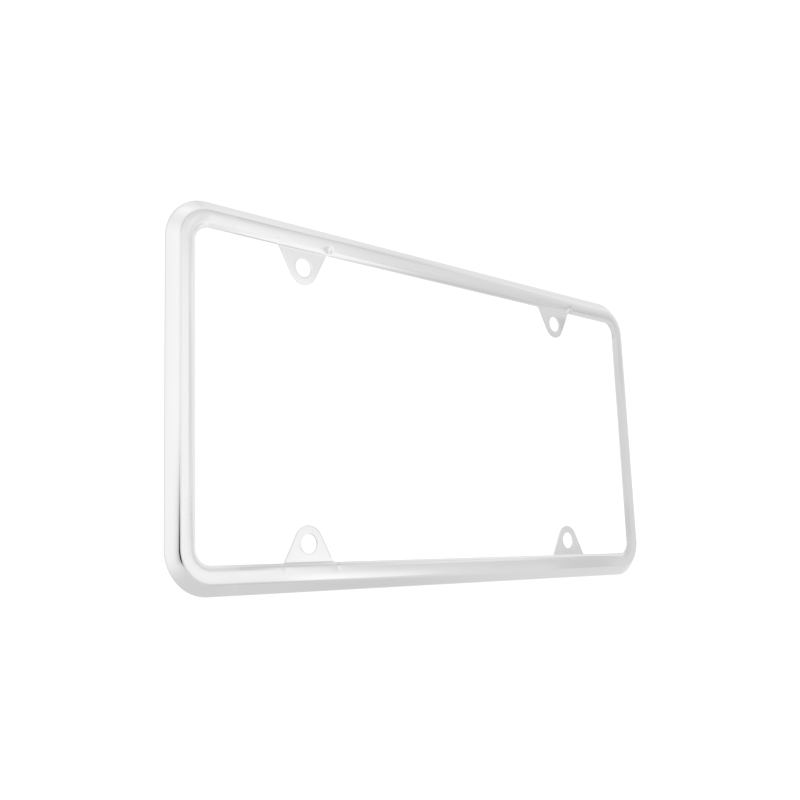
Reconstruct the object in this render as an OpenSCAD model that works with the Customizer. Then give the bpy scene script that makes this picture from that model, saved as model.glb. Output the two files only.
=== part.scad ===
// Chromed number plate frame: one stamped sheet-metal ring with four screw tabs.
// It is modelled lying face up, with the plate in the XY plane, and stood upright at the end,
// so the finished part has X along the plate, Z up and its front towards -Y.
// The origin is the centre of the four screw holes, on the plane of the tabs' backs.

/* [Overall] */
// Length of the frame over its rim
frame_w = 312.5; // [290:0.5:340]
// Height of the frame over its rim
frame_h = 160.4; // [156:0.1:180]
// Radius of the outer corners at the rim
corner_r = 19; // [16:0.5:30]

/* [Sheet] */
// Thickness of the plated sheet
sheet_t = 0.7; // [0.5:0.05:1]

/* [Section] */
// Width of each side of the frame from the rim to the inner edge, seen from the front
side_w = 12.1; // [11:0.1:14]
// Width of the sloping outer flange, from the rim to the start of the ridge bend
flange_w = 4.1; // [3:0.1:5]
// Slope of the flange at the rim, in degrees from the plate
rim_slope = 45; // [44:1:58]
// Slope of the flange where it reaches the ridge bend
ridge_slope = 39; // [30:1:41]
// Outside radius of the ridge bend
ridge_r = 1.8; // [1.2:0.1:2.2]
// Upward slope of the face just inside the ridge
face_rise = 2; // [1:0.5:6]
// Downward slope of the face where it meets the inner roll
face_fall = 6; // [4:0.5:10]
// Outside radius of the roll along the inner edge
roll_r = 4.3; // [3.6:0.1:5]
// Slope of the roll where it is trimmed to leave the inner edge
lip_slope = 48; // [42:1:50]

/* [Tabs] */
// Distance between the screw holes along the plate
hole_pitch_x = 177.8; // [170:0.1:185]
// Distance from the inner edge of the frame to the centre of a screw hole
hole_inset = 7.775; // [7:0.005:9]
// Diameter of a screw hole
hole_d = 8.3; // [6:0.1:9]
// Radius of a tab's round tip, which is concentric with its hole
tab_tip_r = 7.8; // [6.5:0.1:8.5]
// Angle of a tab's straight sides from the upright
tab_side_angle = 29; // [20:1:35]
// Radius of the inner corners where a tab's sides run into the inner edge
tab_root_r = 1.4; // [0.8:0.1:2]
// Slope at which the roll, carried on over a tab's root, meets the bend at the tab's foot
foot_slope = 51; // [51:1:60]
// Inside radius of the bend at the foot
foot_r = 0.5; // [0.3:0.1:0.8]

/* [Hidden] */
$fn = 96;

// Steps along each bend of the section, and round a rounded edge of the sheet
bend_steps = 6;

// The section has x as the distance inwards from the rim and y as the height above the rim's back.
// Each bend is an arc about a centre of its own, tangent to the next one.
edge_r = sheet_t / 2;
rim_c = [edge_r, edge_r];
flange_r = (flange_w - edge_r * (1 - sin(rim_slope))) / (sin(rim_slope) - sin(ridge_slope));
flange_c = rim_c + (flange_r - edge_r) * [sin(rim_slope), -cos(rim_slope)];
ridge_c = flange_c + (flange_r - ridge_r) * [-sin(ridge_slope), cos(ridge_slope)];
roll_x = side_w - edge_r - (roll_r - edge_r) * sin(lip_slope);
face_span = roll_x + roll_r * sin(face_fall) - ridge_c[0] + ridge_r * sin(face_rise);
face_r = face_span / (sin(face_rise) + sin(face_fall));
face_c = ridge_c + (ridge_r - face_r) * [-sin(face_rise), cos(face_rise)];
roll_c = face_c + (face_r - roll_r) * [sin(face_fall), cos(face_fall)];
foot_c = roll_c + (roll_r + foot_r) * [sin(foot_slope), cos(foot_slope)];
// Height of the tabs' backs above the rim's back, which leaves a pocket for the plate inside the rim
tab_back = foot_c[1] - foot_r - sheet_t;

// Distance between the screw holes up the plate, 120.65 for a standard plate
hole_pitch_y = frame_h - 2 * (side_w + hole_inset);

// Places seen from a screw hole, with y towards the side of the frame that the tab hangs from
root_half = tab_tip_r / cos(tab_side_angle) + hole_inset * tan(tab_side_angle);
fillet_x = root_half + tab_root_r * tan(45 - tab_side_angle / 2);
tip_touch = tab_tip_r * [cos(tab_side_angle), -sin(tab_side_angle)];
fillet_touch = [fillet_x, hole_inset - tab_root_r] - tab_root_r * [cos(tab_side_angle), -sin(tab_side_angle)];

// Points of an arc about a centre, without its first point, by angles from straight up
function arc(centre, r, from, to) =
    [for (i = [1:bend_steps]) let (a = from + (to - from) * i / bend_steps) centre + r * [sin(a), cos(a)]];

// One surface of the pressed section from the rim to the inner edge, a depth below the front
function section_path(depth) = concat(
    [flange_c + (flange_r - depth) * [-sin(rim_slope), cos(rim_slope)]],
    arc(flange_c, flange_r - depth, -rim_slope, -ridge_slope),
    arc(ridge_c, ridge_r - depth, -ridge_slope, -face_rise),
    arc(face_c, face_r - depth, -face_rise, face_fall),
    arc(roll_c, roll_r - depth, face_fall, lip_slope));

// The same surface carried on over the roll and round the foot into the flat tab
function tab_path(depth) = concat(
    section_path(depth),
    arc(roll_c, roll_r - depth, lip_slope, foot_slope),
    arc(foot_c, -foot_r - depth, foot_slope, 0),
    [[side_w + hole_inset + 2 * tab_tip_r, tab_back + sheet_t - depth]]);

function reverse(list) = [for (i = [len(list) - 1:-1:0]) list[i]];

// Points that round the cut edge of the sheet at the rim and at the inner edge
rim_round = concat(arc(rim_c, edge_r, 180 - rim_slope, 270), arc(rim_c, edge_r, 270, 360 - rim_slope));
lip_c = roll_c + (roll_r - edge_r) * [sin(lip_slope), cos(lip_slope)];
lip_round = arc(lip_c, edge_r, lip_slope, lip_slope + 180);

// The pressed section: rounded rim, sloping flange, ridge bend, crowned face, roll and rounded edge
module frame_section() {
    polygon(concat(section_path(0), lip_round, reverse(section_path(sheet_t)), rim_round));
}

// The section through a tab, longer than the tab so that its outline can trim it
module tab_section() {
    polygon(concat(tab_path(0), reverse(tab_path(sheet_t)), rim_round));
}

// Places a section with its rim at the corner radius from the corner's centre
module from_corner_centre() {
    translate([corner_r, 0]) mirror([1, 0]) children();
}

// Outline of a tab from the front, with its hole at the origin and the side of the frame at +y
module tab_outline() {
    difference() {
        union() {
            circle(r = tab_tip_r);
            polygon([tip_touch, fillet_touch, [fillet_x, hole_inset], [-fillet_x, hole_inset],
                [-fillet_touch[0], fillet_touch[1]], [-tip_touch[0], tip_touch[1]]]);
            translate([-2 * fillet_x, hole_inset]) square([4 * fillet_x, side_w + sheet_t]);
        }
        for (side = [-1, 1]) translate([side * fillet_x, hole_inset - tab_root_r]) circle(r = tab_root_r);
    }
}

// One tab with the stretch of the frame that carries it, in the quarter where x and y are positive
module tab() {
    difference() {
        intersection() {
            translate([hole_pitch_x / 2 - fillet_x, frame_h / 2 - corner_r, 0]) rotate([90, 0, 90])
                linear_extrude(2 * fillet_x) from_corner_centre() tab_section();
            translate([hole_pitch_x / 2, hole_pitch_y / 2, -sheet_t]) linear_extrude(side_w) tab_outline();
        }
        translate([hole_pitch_x / 2, hole_pitch_y / 2, tab_back - sheet_t])
            cylinder(h = 3 * sheet_t, d = hole_d);
    }
}

// A quarter of the ring: half of a long side, the corner sweep and half of a short side
module quarter_ring() {
    centre_x = frame_w / 2 - corner_r;
    centre_y = frame_h / 2 - corner_r;
    translate([0, centre_y, 0]) rotate([90, 0, 90]) linear_extrude(centre_x)
        from_corner_centre() frame_section();
    translate([centre_x, centre_y, 0]) rotate_extrude(angle = 90) from_corner_centre() frame_section();
    translate([centre_x, centre_y, 0]) rotate([90, 0, 0]) linear_extrude(centre_y)
        from_corner_centre() frame_section();
}

// The whole stamping, stood upright with the tabs' backs on the XZ plane
module plate_frame() {
    color("silver") rotate([90, 0, 0]) translate([0, 0, -tab_back])
        for (flip_x = [0, 1], flip_y = [0, 1]) mirror([flip_x, 0, 0]) mirror([0, flip_y, 0]) {
            quarter_ring();
            tab();
        }
}

plate_frame();
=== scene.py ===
# %% [markdown]
# # A chromed number plate frame
# The object is one thin steel pressing: a slim ring that goes round a number plate, with a sloping
# outer flange, a narrow ridge, a crowned face, an inner edge that rolls back, and four pierced tabs.
# The script loads the construction as a fixed frame, dresses it with one finely meshed copy of the
# pressing, gives that copy its plating, and sets up the small white studio that the chrome mirrors.

import bmesh
import bpy
import numpy as np
from mathutils import Matrix, Vector


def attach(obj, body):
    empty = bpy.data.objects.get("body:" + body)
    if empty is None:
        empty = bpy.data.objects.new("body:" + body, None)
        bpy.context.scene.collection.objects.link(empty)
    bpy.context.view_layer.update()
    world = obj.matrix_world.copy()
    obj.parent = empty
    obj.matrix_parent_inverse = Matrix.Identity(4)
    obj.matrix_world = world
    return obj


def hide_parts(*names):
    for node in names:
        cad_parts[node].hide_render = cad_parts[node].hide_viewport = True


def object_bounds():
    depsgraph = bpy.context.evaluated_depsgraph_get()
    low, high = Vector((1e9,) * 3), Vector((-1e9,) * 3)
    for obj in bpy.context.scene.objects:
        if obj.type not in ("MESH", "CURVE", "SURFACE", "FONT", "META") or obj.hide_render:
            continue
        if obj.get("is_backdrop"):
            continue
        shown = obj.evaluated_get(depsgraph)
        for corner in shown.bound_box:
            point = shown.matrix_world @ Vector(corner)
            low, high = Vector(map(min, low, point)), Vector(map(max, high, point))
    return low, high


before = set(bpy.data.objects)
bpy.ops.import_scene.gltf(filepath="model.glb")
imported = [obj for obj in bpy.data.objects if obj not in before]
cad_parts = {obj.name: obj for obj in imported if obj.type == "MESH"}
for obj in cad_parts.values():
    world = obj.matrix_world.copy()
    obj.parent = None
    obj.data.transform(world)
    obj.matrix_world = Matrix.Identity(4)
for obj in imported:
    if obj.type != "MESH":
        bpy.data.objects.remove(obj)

cad_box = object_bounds()
print("construction box, metres:", cad_box)

# %% [markdown]
# ## Sizes
# A maker would read these off the drawing: all are millimetres and degrees. They repeat the driving
# sizes of the construction, because the dressed piece has to lie exactly where the solid lies.

# %% Driving sizes of the pressing
MM = 0.001
FRAME_W = 312.5
FRAME_H = 160.4
CORNER_R = 19.0
SHEET_T = 0.7
SIDE_W = 12.1
FLANGE_W = 4.1
RIM_SLOPE = 45.0
RIDGE_SLOPE = 39.0
RIDGE_R = 1.8
FACE_RISE = 2.0
FACE_FALL = 6.0
ROLL_R = 4.3
LIP_SLOPE = 48.0
FOOT_SLOPE = 51.0
FOOT_R = 0.5
HOLE_PITCH_X = 177.8
HOLE_INSET = 7.775
HOLE_D = 8.3
TAB_TIP_R = 7.8
TAB_SIDE_ANGLE = 29.0
TAB_ROOT_R = 1.4
EDGE_R = SHEET_T / 2
HOLE_Z = FRAME_H / 2 - SIDE_W - HOLE_INSET
# Two lengths or distances count as equal within this.
SLACK = 1e-9
print("over the rim: %.1f by %.1f mm" % (FRAME_W, FRAME_H))
print("holes: %.2f by %.2f mm apart" % (HOLE_PITCH_X, 2 * HOLE_Z))


def sin(degrees):
    """Sine of an angle in degrees."""
    return np.sin(np.radians(degrees))


def cos(degrees):
    """Cosine of an angle in degrees."""
    return np.cos(np.radians(degrees))


def tan(degrees):
    """Tangent of an angle in degrees."""
    return np.tan(np.radians(degrees))


# %% [markdown]
# ## The pressed section
# The sheet is bent four times on its way from the rim to the inner edge: in the flange, the ridge, the
# face and the roll. At a tab the roll runs on, and a fifth bend, the foot, turns it into the flat. It
# could be drawn as a spline, but a press tool is cut in arcs, so the middle of the sheet is taken here
# as a chain of tangent arcs, walked by its own length. One function then gives the inset, the height
# and the tilt of the sheet anywhere, and both faces lie half a sheet from it.

# %% Arcs of the section
flange_r = (FLANGE_W - EDGE_R * (1 - sin(RIM_SLOPE))) / (sin(RIM_SLOPE) - sin(RIDGE_SLOPE))
flange_c = np.array([EDGE_R, EDGE_R]) + (flange_r - EDGE_R) * np.array([sin(RIM_SLOPE), -cos(RIM_SLOPE)])
ridge_c = flange_c + (flange_r - RIDGE_R) * np.array([-sin(RIDGE_SLOPE), cos(RIDGE_SLOPE)])
roll_x = SIDE_W - EDGE_R - (ROLL_R - EDGE_R) * sin(LIP_SLOPE)
face_span = roll_x + ROLL_R * sin(FACE_FALL) - ridge_c[0] + RIDGE_R * sin(FACE_RISE)
face_r = face_span / (sin(FACE_RISE) + sin(FACE_FALL))
face_c = ridge_c + (RIDGE_R - face_r) * np.array([-sin(FACE_RISE), cos(FACE_RISE)])
roll_c = face_c + (face_r - ROLL_R) * np.array([sin(FACE_FALL), cos(FACE_FALL)])
foot_c = roll_c + (ROLL_R + FOOT_R) * np.array([sin(FOOT_SLOPE), cos(FOOT_SLOPE)])
TAB_BACK = foot_c[1] - FOOT_R - SHEET_T

# Each arc: its centre, the radius of the middle of the sheet, and the tilts at its start and end.
# A negative radius is a bend the other way.
ARCS = [
    (flange_c, flange_r - EDGE_R, -RIM_SLOPE, -RIDGE_SLOPE),
    (ridge_c, RIDGE_R - EDGE_R, -RIDGE_SLOPE, -FACE_RISE),
    (face_c, face_r - EDGE_R, -FACE_RISE, FACE_FALL),
    (roll_c, ROLL_R - EDGE_R, FACE_FALL, FOOT_SLOPE),
    (foot_c, -FOOT_R - EDGE_R, FOOT_SLOPE, 0.0),
]
arc_lengths = np.array([np.radians(end - start) * r for _, r, start, end in ARCS])
arc_starts = np.concatenate([[0.0], np.cumsum(arc_lengths)])
LIP_V = arc_starts[3] + np.radians(LIP_SLOPE - FACE_FALL) * (ROLL_R - EDGE_R)
INSET_SAMPLES = 6000


def section(v):
    """Inset, height and tilt of the middle of the sheet, a length v from the rim.

    On an arc the tilt grows by length over radius, and the point is the arc's centre plus its radius
    times (sine, cosine) of the tilt. Past the last arc the sheet is the flat tab.
    """
    v = np.asarray(v, float)
    inset = foot_c[0] + v - arc_starts[-1]
    height = np.full(v.shape, TAB_BACK + EDGE_R)
    tilt = np.zeros(v.shape)
    for (centre, r, start, end), v0, length in zip(ARCS, arc_starts, arc_lengths):
        here = (v >= v0 - SLACK) & (v < v0 + length)
        angle = start + np.degrees((v - v0) / r)
        inset = np.where(here, centre[0] + r * sin(angle), inset)
        height = np.where(here, centre[1] + r * cos(angle), height)
        tilt = np.where(here, angle, tilt)
    return inset, height, tilt


def length_at(inset):
    """The inverse on the way inwards: the length v at which the sheet has a given inset."""
    v = np.linspace(arc_starts[2], arc_starts[-1] + 4 * TAB_TIP_R, INSET_SAMPLES)
    return np.interp(inset, section(v)[0], v)


print("sheet width from rim to inner edge: %.2f mm, tabs' backs %.2f mm over the rim" % (LIP_V, TAB_BACK))

# %% [markdown]
# ## The way round the frame
# The section is carried round a rounded rectangle. The path is not the rim itself but the line of the
# corner centres: on a side it moves along, at a corner it stands still while the section swings
# through a right angle. A point of the sheet then lies (corner radius minus inset) out from the path,
# and no corner needs a special case. Stations are dense where the shape changes, at corners and tabs.

# %% Outline of a tab
fillet_x = TAB_TIP_R / cos(TAB_SIDE_ANGLE) + HOLE_INSET * tan(TAB_SIDE_ANGLE)
fillet_x += TAB_ROOT_R * tan(45 - TAB_SIDE_ANGLE / 2)
# Above this height over the hole a tab is meshed in columns, and below it as a fan about the hole.
SEAM_Y = 5.6
ROOT_COLS = 10
SIDE_COLS = 6
SEAM_COLS = 15


def tab_edge(x):
    """Height of the sheet's end over the hole's centre, at a distance x to either side of the hole.

    The true outline less half a sheet, which the rounded edge fills: a circle about the hole, a
    straight side that touches it, and a small circle that turns into the inner edge of the ring.
    """
    x = np.abs(x)
    tip = TAB_TIP_R - EDGE_R
    root = TAB_ROOT_R + EDGE_R
    on_tip = -np.sqrt(np.maximum(tip**2 - x**2, 0))
    on_side = (x - tip / cos(TAB_SIDE_ANGLE)) / tan(TAB_SIDE_ANGLE)
    on_root = HOLE_INSET - TAB_ROOT_R + np.sqrt(np.maximum(root**2 - (fillet_x - x) ** 2, 0))
    y = np.where(x < tip * cos(TAB_SIDE_ANGLE), on_tip, on_side)
    y = np.where(x > fillet_x - root * cos(TAB_SIDE_ANGLE), on_root, y)
    return np.where(x >= fillet_x, HOLE_INSET + EDGE_R, y)


seam_x = (TAB_TIP_R - EDGE_R) / cos(TAB_SIDE_ANGLE) + SEAM_Y * tan(TAB_SIDE_ANGLE)
root_angles = np.linspace(0, 90 - TAB_SIDE_ANGLE, ROOT_COLS)
root_cols = fillet_x - (TAB_ROOT_R + EDGE_R) * sin(root_angles)
side_cols = np.linspace(root_cols[-1], seam_x, SIDE_COLS)[1:]
tab_cols = np.concatenate([root_cols, side_cols, np.linspace(seam_x, 0, SEAM_COLS)[1:]])
TAB_COLS = np.concatenate([tab_cols, -tab_cols[-2::-1]])[::-1]
print("tab columns:", len(TAB_COLS), "over", round(2 * fillet_x, 2), "mm")

# %% Stations of the path
CX = FRAME_W / 2 - CORNER_R
CZ = FRAME_H / 2 - CORNER_R
CORNER_STEPS = 32
MIDDLE_STEPS = 18
END_STEPS = 6
SHORT_SIDE_STEPS = 16
NEAR_TAB = fillet_x + np.array([0.35, 0.7, 1.05, 1.4, 1.8, 2.2, 2.7, 3.2, 3.8, 4.5, 5.5, 7.0, 9.0])


def long_side_stations():
    """Places along a long side, from -CX to CX, dense at both tabs and even between them."""
    near = np.concatenate([-NEAR_TAB[::-1], TAB_COLS, NEAR_TAB])
    tabs = np.concatenate([near - HOLE_PITCH_X / 2, near + HOLE_PITCH_X / 2])
    reach = HOLE_PITCH_X / 2 - NEAR_TAB[-1]
    outer = HOLE_PITCH_X / 2 + NEAR_TAB[-1]
    middle = np.linspace(-reach, reach, MIDDLE_STEPS)[1:-1]
    ends = np.linspace(outer, CX, END_STEPS)[1:]
    return np.sort(np.concatenate([tabs, middle, ends, -ends]))


def path_stations():
    """Base points and outward directions all the way round, anticlockwise from the front."""
    along = long_side_stations()
    up = np.linspace(-CZ, CZ, SHORT_SIDE_STEPS)
    turn = np.linspace(0, 90, CORNER_STEPS + 1)[1:-1]
    sides = [
        (np.stack([np.full_like(up, CX), up], 1), 0.0, [CX, CZ]),
        (np.stack([along[::-1], np.full_like(along, CZ)], 1), 90.0, [-CX, CZ]),
        (np.stack([np.full_like(up, -CX), up[::-1]], 1), 180.0, [-CX, -CZ]),
        (np.stack([along, np.full_like(along, -CZ)], 1), 270.0, [CX, -CZ]),
    ]
    base, angle = [], []
    for points, facing, corner in sides:
        base += [points, np.repeat([corner], len(turn), 0)]
        angle += [np.full(len(points), facing), facing + turn]
    base, angle = np.concatenate(base), np.concatenate(angle)
    return base, np.stack([cos(angle), sin(angle)], 1)


def on_long_side(out):
    """True on the top and the bottom side, where the outward direction stands upright."""
    return np.abs(out[..., 1]) > 1 - SLACK


BASE, OUT = path_stations()
print("stations round the frame:", len(BASE))

# %% [markdown]
# ## The surface of the sheet
# Two numbers place a point on the pressing: the station round the path and the length across the
# section. A third, one on the front face and minus one on the back, goes through the thickness. The
# press also left small marks where it drew each tab out of the roll. They could be sculpted or be a
# bump in the material, but here they are a function of the same numbers, so that they are real shape
# and front and back stay a sheet apart.

# %% From path and section to space
TAB_X = HOLE_PITCH_X / 2
# Depths of the marks, how far they reach towards the tab and away from it along the side, and their
# place and reach across the section.
FOLD_DEPTH = 0.65
DIP_DEPTH = 0.1
PINCH_NEAR = 2.4
PINCH_FAR = 1.1
PINCH_V = LIP_V - 1.9
PINCH_WIDTH = 1.6


def pinch(x, v, out):
    """Depth of the marks beside a tab: a hollow in the face over each root of the tab.

    Each is a Gaussian in the distance from its centre, along the side and across the section, which
    runs out gently towards the tab and rises in a short step on the far side. It is a clear fold at
    the right root of a top tab and only a faint dip at the others.
    """
    beside = np.abs(np.abs(x) - TAB_X) - fillet_x
    along = np.exp(-((beside / np.where(beside < 0, PINCH_NEAR, PINCH_FAR)) ** 2))
    across = np.exp(-(((v - PINCH_V) / PINCH_WIDTH) ** 2))
    fold = (out[..., 1] > 0) & (x > np.sign(x) * TAB_X)
    return np.where(fold, FOLD_DEPTH, DIP_DEPTH) * along * across * on_long_side(out)


def sheet(base, out, v, through=0.0):
    """Points of the sheet in millimetres, X along the plate, Y to the back and Z up.

    The point lies (corner radius - inset) out from the path, at the section's height towards the
    front, moved along the sheet's own normal by half a sheet times the third number.
    """
    inset, height, tilt = section(v)
    lift = EDGE_R * through - pinch(base[..., 0], v, out)
    inset = inset + lift * sin(tilt)
    height = height + lift * cos(tilt)
    x = base[..., 0] + (CORNER_R - inset) * out[..., 0]
    z = base[..., 1] + (CORNER_R - inset) * out[..., 1]
    return np.stack([x, TAB_BACK - height, z], -1)


def sheet_normal(out, v):
    """Direction out of the front of the sheet: the tilt leans the front inwards, off the path."""
    tilt = section(v)[2]
    return np.stack([-sin(tilt) * out[..., 0], -cos(tilt), -sin(tilt) * out[..., 1]], -1)


rim_point = sheet(BASE[0], OUT[0], np.array(0.0))
print("middle of the sheet at the rim of the first station, mm:", np.round(rim_point, 3).tolist())

# %% [markdown]
# ## Meshing
# Every part of the pressing is a grid of points, worked out as one array. Each grid could be an object
# of its own, but they are stretches of one sheet, so they are collected here with running numbers and
# welded at the end. The sheet's cut edges are rounded by half a circle.

# %% Meshing helpers
EDGE_STEPS = 8
parts = {"points": [], "quads": [], "count": 0}


def add_grid(points, closed_u=False, closed_v=False):
    """Puts a grid of points into the mesh as four-sided faces, joining its ends where it is closed."""
    rows, cols = points.shape[:2]
    index = np.arange(rows * cols).reshape(rows, cols) + parts["count"]
    if closed_u:
        index = np.concatenate([index, index[:1]], 0)
    if closed_v:
        index = np.concatenate([index, index[:, :1]], 1)
    quads = np.stack([index[:-1, :-1], index[1:, :-1], index[1:, 1:], index[:-1, 1:]], -1)
    parts["points"].append(points.reshape(-1, 3))
    parts["quads"].append(quads.reshape(-1, 4))
    parts["count"] += rows * cols


def rounded_edge(middle, normal, outward):
    """Half a circle of the sheet's half thickness round a cut edge, from the front face to the back.

    middle is the edge's line in the middle of the sheet, and outward points off the sheet.
    """
    angle = np.linspace(0, 180, EDGE_STEPS + 1)[:, None, None]
    return middle[None] + EDGE_R * (cos(angle) * normal[None] + sin(angle) * outward[None])


def off_edge(middle, normal):
    """Direction off the sheet along a closed cut edge: across both the edge's own run and the normal."""
    ahead = np.roll(middle, -1, 0) - np.roll(middle, 1, 0)
    across = np.cross(normal, ahead)
    return across / np.linalg.norm(across, axis=1, keepdims=True)


# %% The ring
FLANGE_ROWS = 6
RIDGE_ROWS = 12
FACE_ROWS = 10
ROLL_ROWS = 17


def arc_rows(k, steps):
    """Lengths at even steps along arc k, without its end."""
    return arc_starts[k] + arc_lengths[k] * np.arange(steps) / steps


roll_rows = np.linspace(arc_starts[3], LIP_V, ROLL_ROWS)
outer_rows = [arc_rows(0, FLANGE_ROWS), arc_rows(1, RIDGE_ROWS), arc_rows(2, FACE_ROWS)]
RING_V = np.concatenate(outer_rows + [roll_rows])
ring_v = np.broadcast_to(RING_V, (len(BASE), len(RING_V)))
ring_base = np.broadcast_to(BASE[:, None], ring_v.shape + (2,))
ring_out = np.broadcast_to(OUT[:, None], ring_v.shape + (2,))
for side in (1, -1):
    add_grid(sheet(ring_base, ring_out, ring_v, side), closed_u=True)

rim_v = np.zeros(len(BASE))
rim_back = np.full(len(BASE), sin(RIM_SLOPE))
rim_outward = np.stack([cos(RIM_SLOPE) * OUT[:, 0], rim_back, cos(RIM_SLOPE) * OUT[:, 1]], 1)
add_grid(rounded_edge(sheet(BASE, OUT, rim_v), sheet_normal(OUT, rim_v), rim_outward), closed_v=True)
print("ring:", parts["count"], "points so far")

# %% [markdown]
# ## The tabs
# Past the inner edge the sheet goes on only at the tabs, where the plate is screwed. A tab could be
# trimmed and pierced with Booleans, but their ragged faces show in a mirror. So above a seam line each
# tab is a grid of columns from the roll down to the outline, and below it the flat sheet is a fan of
# rings from the hole's edge to the outline, so that the hole stays truly round.

# %% Plan of the flat part
SIDE_POINTS = 13
TIP_POINTS = 61


def tab_line(hole_x, up, x):
    """Stations and outward directions for columns at distances x from a hole, on the top or bottom side."""
    base = np.stack([hole_x + x, np.full_like(x, up * CZ)], -1)
    out = np.stack([np.zeros_like(x), np.full_like(x, float(up))], -1)
    return base, out


def fan_outline():
    """Outline of the flat part below the seam, as (x, y) about the hole, with the seam's own points.

    A straight side runs from the seam to the touching point, a circle about the hole goes round the
    tip to the other touching point, and the side mirrored comes back up.
    """
    seam = TAB_COLS[np.abs(TAB_COLS) <= seam_x + SLACK]
    seam_points = np.stack([seam, np.full_like(seam, SEAM_Y)], 1)
    tip = TAB_TIP_R - EDGE_R
    touch = np.array([tip * cos(TAB_SIDE_ANGLE), -tip * sin(TAB_SIDE_ANGLE)])
    side = np.linspace([seam_x, SEAM_Y], touch, SIDE_POINTS)[1:]
    sweep = np.linspace(-TAB_SIDE_ANGLE, -180 + TAB_SIDE_ANGLE, TIP_POINTS)[1:]
    arc = tip * np.stack([cos(sweep), sin(sweep)], 1)
    other = side[-2::-1] * [-1, 1]
    return seam_points, np.concatenate([seam_points[-1:], side, arc, other, seam_points[:1]])


seam_points, open_points = fan_outline()
fan_edge = np.concatenate([seam_points, open_points[1:-1]])
hole_turn = np.arctan2(fan_edge[:, 1], fan_edge[:, 0])
hole_edge = (HOLE_D / 2 + EDGE_R) * np.stack([np.cos(hole_turn), np.sin(hole_turn)], 1)
print("fan:", len(fan_edge), "points on the outline and as many on the hole")

# %% Tab columns, fans and holes
TAB_ROWS = 22
FAN_RINGS = 7


def flat_points(hole_x, up, plan, through):
    """Points of a tab's flat part from its plan about the hole: the inset is the hole's own less y."""
    x, y = plan[..., 0], plan[..., 1]
    base, out = tab_line(hole_x, up, x)
    return sheet(base, out, length_at(SIDE_W + HOLE_INSET - y), through)


def flat_normals(points):
    """The flat part faces straight to the front everywhere."""
    return np.tile([0.0, -1.0, 0.0], (len(points), 1))


def tab_end(x):
    """Length across the section at which a tab's column stops: its outline, or the seam above the fan."""
    y = np.where(np.abs(x) <= seam_x + SLACK, SEAM_Y, tab_edge(x))
    return np.maximum(length_at(SIDE_W + HOLE_INSET - y), LIP_V)


column_share = np.linspace(0, 1, TAB_ROWS + 1)
fan_share = np.linspace(0, 1, FAN_RINGS + 1)[:, None, None]
fan_plan = hole_edge[None] * (1 - fan_share) + fan_edge[None] * fan_share
ends = tab_end(TAB_COLS)
ends[[0, -1]] = LIP_V
column_v = LIP_V + (ends - LIP_V)[:, None] * column_share[None]
column_x = np.broadcast_to(TAB_COLS[:, None], column_v.shape)
for up in (1, -1):
    for hole_x in (-TAB_X, TAB_X):
        base, out = tab_line(hole_x, up, column_x)
        for side in (1, -1):
            add_grid(sheet(base, out, column_v, side))
            add_grid(flat_points(hole_x, up, fan_plan, side), closed_v=True)
        hole_middle = flat_points(hole_x, up, hole_edge, 0.0)
        centre = np.array([hole_x, hole_middle[0, 1], up * HOLE_Z])
        inward = (centre - hole_middle) / np.linalg.norm(centre - hole_middle, axis=1, keepdims=True)
        add_grid(rounded_edge(hole_middle, flat_normals(hole_middle), inward), closed_v=True)
print("with tabs:", parts["count"], "points")

# %% [markdown]
# ## The inner edge
# The inner edge is one closed line, which follows the lip of the roll and goes down and round each
# tab. It could be found as the open border of the mesh, but the runs that make it up are known
# already, so they are strung together in the order of the path and rounded off in one go.

# %% The inner edge, all the way round
def column_ends(hole_x, up, x):
    """Where the columns at distances x from a hole end, and the sheet's normals there."""
    base, out = tab_line(hole_x, up, x)
    v = tab_end(x)
    return sheet(base, out, v), sheet_normal(out, v)


def round_tab(run):
    """The edge round the tab at a run of stations: its first columns, the fan's outline, the others."""
    hole_x = np.sign(BASE[run[0], 0]) * TAB_X
    up = np.sign(OUT[run[0], 1])
    offsets = BASE[run, 0] - hole_x
    heading = np.sign(offsets[-1] - offsets[0])
    above = offsets[np.abs(offsets) > seam_x + SLACK]
    fan = flat_points(hole_x, up, open_points * [-heading, 1], 0.0)
    first = column_ends(hole_x, up, above[above * heading < 0])
    last = column_ends(hole_x, up, above[above * heading > 0])
    return [np.concatenate(rows) for rows in zip(first, (fan, flat_normals(fan)), last)]


def inner_edge():
    """The line of the inner edge in the middle of the sheet, with the normals along it."""
    lip_v = np.full(len(BASE), LIP_V)
    lip, lip_normal = sheet(BASE, OUT, lip_v), sheet_normal(OUT, lip_v)
    beside = np.abs(np.abs(BASE[:, 0]) - TAB_X)
    in_tab = on_long_side(OUT) & (beside < fillet_x - SLACK)
    runs = np.split(np.arange(len(BASE)), np.flatnonzero(np.diff(in_tab)) + 1)
    strung = [round_tab(run) if in_tab[run[0]] else (lip[run], lip_normal[run]) for run in runs]
    return [np.concatenate(rows) for rows in zip(*strung)]


edge_middle, edge_normal = inner_edge()
add_grid(rounded_edge(edge_middle, edge_normal, off_edge(edge_middle, edge_normal)), closed_v=True)
print("inner edge points:", len(edge_middle))

# %% [markdown]
# ## One closed mesh
# The frame is one piece of steel, so its mesh is one closed skin. Neighbouring grids were made with
# the same points along their seams, which makes a weld enough and a Boolean needless. The count of
# edges that don't have two faces tells whether the skin is closed, and its volume can be held against
# the construction's.

# %% Weld the pressing
WELD = 0.0004


def add_object(name, points, faces):
    """Puts a mesh of points in metres and faces into the scene as an object at the origin."""
    mesh = bpy.data.meshes.new(name)
    mesh.from_pydata(points, [], faces)
    made = bpy.data.objects.new(name, mesh)
    bpy.context.collection.objects.link(made)
    return made


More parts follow.
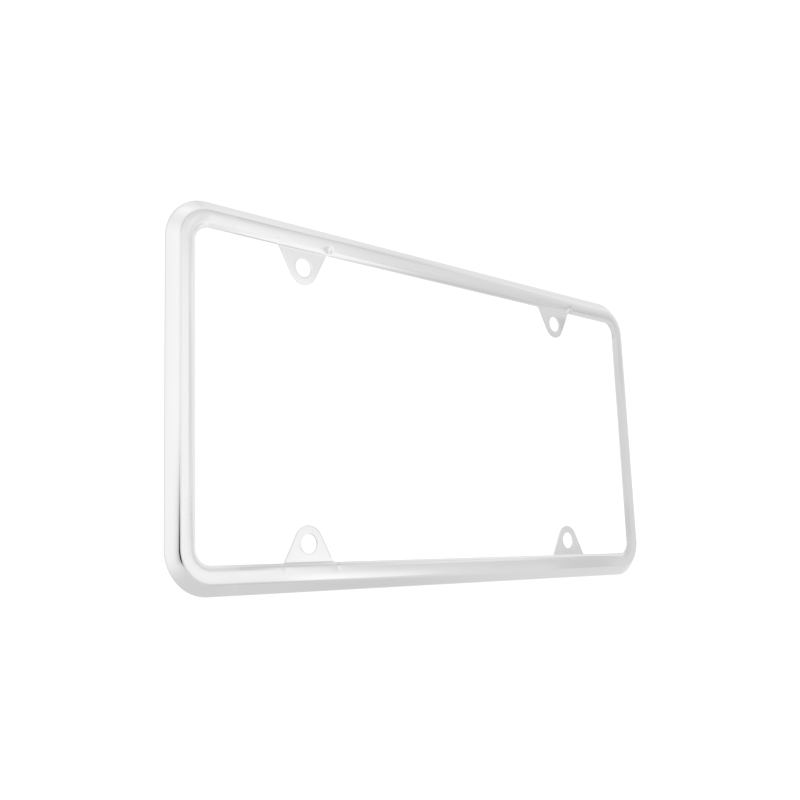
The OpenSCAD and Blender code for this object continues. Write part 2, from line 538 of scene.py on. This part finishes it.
def closed_piece(name):
    """One object from the grids, with shared edges welded and faces pointing outwards."""
    points = np.concatenate(parts["points"]) * MM
    piece = add_object(name, points.tolist(), np.concatenate(parts["quads"]).tolist())
    work = bmesh.new()
    work.from_mesh(piece.data)
    bmesh.ops.remove_doubles(work, verts=work.verts, dist=WELD * MM)
    bmesh.ops.recalc_face_normals(work, faces=work.faces)
    open_edges = sum(1 for e in work.edges if len(e.link_faces) != 2)
    print(name, "faces", len(work.faces), "edges that are not closed:", open_edges)
    print(name, "volume, cubic millimetres: %.1f" % (work.calc_volume(signed=True) / MM**3))
    work.to_mesh(piece.data)
    work.free()
    piece.data.polygons.foreach_set("use_smooth", np.ones(len(piece.data.polygons), bool))
    piece.data.update()
    return piece


pressing = closed_piece("plate_frame_pressing")
triangles = sum(len(p.vertices) - 2 for p in pressing.data.polygons)
print("triangles:", triangles)
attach(pressing, "root")
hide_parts("plate_frame")

# %% [markdown]
# ## Shader arithmetic
# Node trees are quicker to read as formulas. A small class wraps a socket, so that sums and products
# of sockets and numbers write the maths nodes, and one method makes any other kind of node.

# %% Sockets as values
class Value:
    """A number, colour or shader inside a material: it holds one socket and answers to arithmetic."""

    def __init__(self, tree, socket):
        self.tree = tree
        self.socket = socket

    def maths(self, operation, *others):
        """A maths node on this value and the others, in that order."""
        return maths_node(self.tree, operation, self, *others)

    def __add__(self, other):
        return self.maths("ADD", other)

    def __sub__(self, other):
        return self.maths("SUBTRACT", other)

    def __mul__(self, other):
        return self.maths("MULTIPLY", other)

    def __truediv__(self, other):
        return self.maths("DIVIDE", other)

    def __neg__(self):
        return self.maths("MULTIPLY", -1.0)

    def __rsub__(self, other):
        return maths_node(self.tree, "SUBTRACT", other, self)

    def __rtruediv__(self, other):
        return maths_node(self.tree, "DIVIDE", other, self)

    __radd__ = __add__
    __rmul__ = __mul__


def join(tree, value, slot):
    """Sets a socket to a constant, or links another value to it."""
    if isinstance(value, Value):
        tree.links.new(value.socket, slot)
    else:
        slot.default_value = value


def maths_node(tree, operation, *values):
    """A maths node on some values and numbers, in that order."""
    made = tree.nodes.new("ShaderNodeMath")
    made.operation = operation
    for slot, value in zip(made.inputs, values):
        join(tree, value, slot)
    return Value(tree, made.outputs[0])


# %% Materials, node by node
class Paint:
    """A material with nodes, made step by step."""

    def __init__(self, name):
        self.material = bpy.data.materials.new(name)
        self.material.use_nodes = True
        self.tree = self.material.node_tree
        self.tree.nodes.clear()

    def node(self, kind, output, settings=None, inputs=None):
        """Makes any node from its type, the output wanted, its settings and its inputs.

        Outputs and inputs are given by name, or by number where a node uses a name twice.
        """
        made = self.tree.nodes.new("ShaderNode" + kind)
        for name, setting in (settings or {}).items():
            setattr(made, name, setting)
        for slot, value in (inputs or {}).items():
            join(self.tree, value, made.inputs[slot])
        return None if output is None else Value(self.tree, made.outputs[output])

    def place(self):
        """The object's own coordinates, in metres."""
        return self.node("TexCoord", "Object")

    def axes(self, vector):
        """The three parts of a vector as values."""
        first = self.node("SeparateXYZ", "X", inputs={"Vector": vector})
        return [Value(self.tree, part) for part in first.socket.node.outputs]

    def grain(self, vector, size, detail=2.0):
        """Noise about one half, with lumps of about a given size in metres."""
        return self.node("TexNoise", "Fac", inputs={"Vector": vector, "Scale": 1.0 / size, "Detail": detail})

    def blend(self, share, first, second):
        """Mixes two colours by a share."""
        return self.node("Mix", 2, {"data_type": "RGBA"}, {0: share, 6: first, 7: second})

    def finish(self, surface):
        """Sends a shader to the material's output and hands the material back."""
        self.node("OutputMaterial", None, inputs={"Surface": surface})
        return self.material


def grey(level):
    """A neutral colour."""
    return (level, level, level, 1.0)


# %% [markdown]
# ## Plating
# Decorative chrome is a light neutral grey and nearly a mirror. It could be left a flat mirror, but a
# real one carries a faint waviness from the polished steel beneath it and is a little duller where it
# was wiped, so the bump and the roughness both vary, far below what the eye takes for damage.

# %% Chrome
CHROME = grey(0.90)
CHROME_DULL = grey(0.885)
POLISH = 0.06
# Sizes of the dull patches, the wiping marks and the waves, in metres.
PATCH_SIZE = 0.03
WIPE_SIZE = 0.002
WAVE_SIZE = 0.012
# What patches and wiping add to the roughness, and what wiping adds to the height of the waves.
PATCH_ROUGH = 0.03
WIPE_ROUGH = 0.01
WIPE_HEIGHT = 0.03
WAVE_DEPTH = 0.00002


def chrome_plating():
    """Bright plating: roughness and colour follow patches and wiping, and the bump follows waves."""
    paint = Paint("bright_chrome_plating")
    place = paint.place()
    patches = paint.grain(place, PATCH_SIZE)
    wiping = paint.grain(place, WIPE_SIZE, 3.0)
    waves = paint.grain(place, WAVE_SIZE, 1.0)
    rough = POLISH + PATCH_ROUGH * patches + WIPE_ROUGH * wiping
    tint = paint.blend(patches, CHROME, CHROME_DULL)
    height = waves + WIPE_HEIGHT * wiping
    bump = paint.node("Bump", "Normal", inputs={"Height": height, "Distance": WAVE_DEPTH, "Strength": 1.0})
    look = {"Base Color": tint, "Metallic": 1.0, "Roughness": rough, "Normal": bump}
    return paint.finish(paint.node("BsdfPrincipled", "BSDF", inputs=look))


pressing.data.materials.append(chrome_plating())
print("plating:", pressing.data.materials[0].name)

# %% [markdown]
# ## Studio
# Chrome shows only what stands round it, so the studio is the real paint of this picture. It is a
# white sweep with a pale grey tent close about the frame: a tall bright window a little to the right
# of the front, a bright panel at the left, a lighter strip over the camera, and the dark camera
# itself, which the ridge mirrors as the black streak at the lower left. The panels could be separate
# lamps, but on one dome their soft edges run into each other as they do on real cloth.

# %% Floor
FLOOR_Z = -0.6
FLOOR_HALF = 30.0
PAPER_DARK = grey(0.93)
PAPER_LIGHT = grey(0.95)
PAPER_ROUGH = 0.85
PAPER_ROUGH_SPAN = 0.1
PAPER_MOTTLE = 0.4


def pale_paper():
    """Matt white paper with a faint mottle."""
    paint = Paint("pale_paper")
    mottle = paint.grain(paint.place(), PAPER_MOTTLE)
    colour = paint.blend(mottle, PAPER_DARK, PAPER_LIGHT)
    rough = PAPER_ROUGH + PAPER_ROUGH_SPAN * mottle
    look = {"Base Color": colour, "Roughness": rough}
    return paint.finish(paint.node("BsdfPrincipled", "BSDF", inputs=look))


floor_corners = np.array([[-1, -1, 0], [1, -1, 0], [1, 1, 0], [-1, 1, 0]]) * FLOOR_HALF + [0, 0, FLOOR_Z]
floor = add_object("studio_floor", floor_corners.tolist(), [(0, 1, 2, 3)])
floor.data.materials.append(pale_paper())
floor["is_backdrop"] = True
print("floor at %.2f m" % FLOOR_Z)

# %% Light tent
# Radius of the tent and size of the cloth's mottle, in metres, and the brightness between panels.
TENT_R = 0.48
TENT_MOTTLE = 0.2
TENT_LEVEL = 0.745
# How far the brightness of the cloth wanders in all
WANDER = 0.02
# Panels: azimuth from the front towards the right, elevation, half width, half height in degrees,
# and how much lighter or darker than the tent.
PANELS = {
    "window": (15, 6, 20, 27, 0.25),
    "window_foot": (35, -20, 8, 15, 0.24),
    "window_head": (30, 43, 26, 9, -0.09),
    "under_window": (32, -52, 20, 12, -0.09),
    "left_wall": (-68, -2, 12, 36, 0.25),
    "left_top": (-68, 50, 14, 26, 0.17),
    "over_camera": (-34, 14, 26, 18, 0.2),
    "camera": (-44, -14, 14, 13, -0.78),
    "camera_edge": (-52, -15, 8, 14, -0.33),
    "post": (61, 8, 7, 11, -0.13),
    "right_top": (74, 33, 16, 16, 0.15),
    "low_fill": (58, -46, 20, 9, 0.08),
    "right_mid": (80, 6, 14, 10, 0.1),
    "right_high": (82, 59, 24, 7, -0.15),
    "head_line": (20, 33, 9, 4, -0.08),
    "foot_glow": (51, -16, 10, 14, 0.07),
    "right_shelf": (50, 22, 16, 7, 0.05),
    "low_dim": (84, -58, 14, 9, -0.04),
    "right_back": (132, 10, 52, 48, 0.14),
    "ceiling": (0, 90, 180, 34, 0.19),
    "ground": (0, -90, 180, 44, -0.04),
}


def flat_top(*offsets):
    """A soft panel, full over its middle: exp(-(u^4 + v^4)), with the offsets u and v over its halves."""
    return (-sum(u * u * u * u for u in offsets)).maths("EXPONENT")


def tent_cloth():
    """Glowing cloth: the level in a direction is the tent's own plus each panel's gain times its shape."""
    paint = Paint("light_tent_cloth")
    x, y, z = paint.axes(paint.place())
    azimuth = x.maths("ARCTAN2", -y).maths("DEGREES")
    elevation = (z / TENT_R).maths("ARCSINE").maths("DEGREES")
    level = paint.grain(paint.place(), TENT_MOTTLE) * WANDER + (TENT_LEVEL - WANDER / 2)
    for across, up, half_width, half_height, gain in PANELS.values():
        u = (azimuth - across).maths("WRAP", 180.0, -180.0) / half_width
        v = (elevation - up) / half_height
        level = level + gain * flat_top(u, v)
    level = level.maths("MAXIMUM", 0.0)
    return paint.finish(paint.node("Emission", "Emission", inputs={"Color": level, "Strength": 1.0}))


def dome(name, radius, rings=48, spokes=96):
    """A closed sphere about the origin, from rings of latitude and its two poles.

    A point is the radius times (cos lat cos lon, cos lat sin lon, sin lat).
    """
    lat = np.radians(np.linspace(-90, 90, rings + 1))[1:-1, None]
    lon = np.radians(np.linspace(0, 360, spokes, endpoint=False))[None]
    ring = np.stack([np.cos(lat) * np.cos(lon), np.cos(lat) * np.sin(lon), np.sin(lat) + 0 * lon], -1)
    points = np.concatenate([ring.reshape(-1, 3), [[0, 0, -1], [0, 0, 1]]]) * radius
    index = np.arange((rings - 1) * spokes).reshape(rings - 1, spokes)
    wrap = np.roll(index, -1, 1)
    quads = np.stack([index[:-1], wrap[:-1], wrap[1:], index[1:]], -1).reshape(-1, 4)
    south, north = index.size, index.size + 1
    low = np.stack([wrap[0], index[0], np.full(spokes, south)], 1)
    high = np.stack([index[-1], wrap[-1], np.full(spokes, north)], 1)
    return add_object(name, points.tolist(), quads.tolist() + low.tolist() + high.tolist())


def only_reflected(thing):
    """Leaves a light to reflections alone: the camera, matt surfaces and shadows pass through it."""
    thing.visible_camera = False
    thing.visible_diffuse = False
    thing.visible_shadow = False


tent = dome("light_tent", TENT_R)
tent.data.materials.append(tent_cloth())
only_reflected(tent)
tent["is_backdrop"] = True
print("tent with", len(PANELS), "panels")

# %% [markdown]
# ## Cards close to the frame
# A photographer of chrome holds small grey and white cards just in front of the piece, out of the
# picture, to lighten one bend and darken the next. The tent alone could not do it, because the top and
# the bottom of the frame mirror the same part of the tent and yet differ in the picture. Each card
# glows at its own level in its middle and fades to clear at its edges, so that it leaves no outline.

# %% Cards
# Level, then the lowest and the highest corner of a flat box in metres. Cards that overlap stand half
# a millimetre or more apart, but for the two shades at the top: those share a plane, and overlap only
# where the wider one has almost faded out.
CARDS = {
    "right_flag": (0.725, (0.07, -0.06, -0.085), (0.19, -0.06, 0.1)),
    "right_ridge_card": (0.75, (0.185, -0.061, -0.06), (0.255, -0.061, 0.06)),
    "left_roll_card": (0.91, (-0.125, -0.02, -0.064), (-0.125, 0.016, 0.068)),
    "left_crease_shade": (0.765, (-0.1255, -0.0303, -0.045), (-0.1255, -0.0233, 0.085)),
    "top_roll_light": (1.04, (-0.122, -0.02, 0.032), (-0.03, -0.02, 0.0625)),
    "top_roll_shade": (0.64, (0.0, -0.0205, 0.034), (0.108, -0.0205, 0.0625)),
    "bottom_roll_shade": (0.68, (-0.132, -0.02, -0.064), (-0.094, -0.02, -0.04)),
    "bottom_end_shade": (0.68, (0.128, -0.0205, -0.064), (0.165, -0.0205, -0.036)),
    "bottom_face_shade": (0.67, (0.1, -0.021, -0.085), (0.154, -0.021, -0.065)),
    "top_end_shade": (0.61, (0.116, -0.0205, 0.0645), (0.15, -0.0205, 0.0735)),
    "bottom_roll_light": (0.87, (-0.015, -0.02, -0.06), (0.1, -0.02, -0.036)),
}
CARD_MARGIN = 1.4
CARD_MOTTLE = 0.05


def soft_glow(name, level, low, high):
    """Glowing grey that turns clear towards a card's edges, by the soft shape over the box's two sides."""
    paint = Paint(name + "_glow")
    sides = [side for side in zip(paint.axes(paint.place()), low, high) if side[2] > side[1]]
    offsets = [(along - (start + end) / 2) / ((end - start) / 2) for along, start, end in sides]
    mottle = paint.grain(paint.place(), CARD_MOTTLE) * WANDER + (level - WANDER / 2)
    glow = paint.node("Emission", "Emission", inputs={"Color": mottle, "Strength": 1.0})
    clear = paint.node("BsdfTransparent", "BSDF", inputs={"Color": grey(1.0)})
    return paint.finish(paint.node("MixShader", 0, inputs={0: flat_top(*offsets), 1: clear, 2: glow}))


def card(name, level, low, high):
    """A flat four-cornered card: its box's middle plus and minus half the box times the margin."""
    middle = (np.array(low) + high) / 2
    reach = (np.array(high) - low) / 2 * CARD_MARGIN
    across = reach * [1, 1, 0]
    rise = reach * [0, 0, 1]
    foot, top = middle - rise, middle + rise
    corners = np.array([foot - across, foot + across, top + across, top - across])
    made = add_object(name, corners.tolist(), [(0, 1, 2, 3)])
    made.data.materials.append(soft_glow(name, level, low, high))
    return made


for name, (level, low, high) in CARDS.items():
    square = card(name, level, low, high)
    only_reflected(square)
    square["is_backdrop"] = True
print("cards:", len(CARDS))

# %% [markdown]
# ## Surround and camera
# Behind the tent everything is plain white, as in a catalogue picture, so the world is one bright
# even colour. The camera stands to the left of the frame and a little below its middle, so close that
# the far end looks much smaller. It could be set by eye, but its place and aim were worked out from
# the screw holes and the frame's edges.

# %% White surround
SURROUND = 1.1
world = bpy.data.worlds.new("white_surround")
bpy.context.scene.world = world
world.use_nodes = True
world.node_tree.nodes["Background"].inputs["Color"].default_value = grey(1.0)
world.node_tree.nodes["Background"].inputs["Strength"].default_value = SURROUND
bpy.context.scene.view_settings.view_transform = "Standard"
print("surround at", SURROUND)

# %% Camera
EYE = Vector((-0.34844, -0.33235, -0.07089))
LOOK = Vector((0.67939, 0.71479, 0.16582)).normalized()
HEAD = Vector((-0.0877, -0.14499, 0.98554))
FOCAL_PX = 986.49
FRAME_PX = 800
right = LOOK.cross(HEAD).normalized()
head = right.cross(LOOK)
camera_data = bpy.data.cameras.new("view")
camera_data.sensor_width = 36.0
camera_data.lens = FOCAL_PX / FRAME_PX * camera_data.sensor_width
camera_data.clip_start = 0.01
camera = bpy.data.objects.new("view", camera_data)
camera.matrix_world = Matrix.Translation(EYE) @ Matrix((right, head, -LOOK)).transposed().to_4x4()
bpy.context.collection.objects.link(camera)
bpy.context.scene.camera = camera
print("lens: %.1f mm" % camera_data.lens)

# %% [markdown]
# ## Size of the dressed piece
# The dressed piece should not outgrow the construction. Both boxes are worked out here, and the dressed
# piece's box is printed, to set beside the construction's box printed at the start.

# %% Box of the finished piece
plain = [[list(map(float, corner)) for corner in box] for box in (cad_box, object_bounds())]
print("visual box, metres:", plain[1])
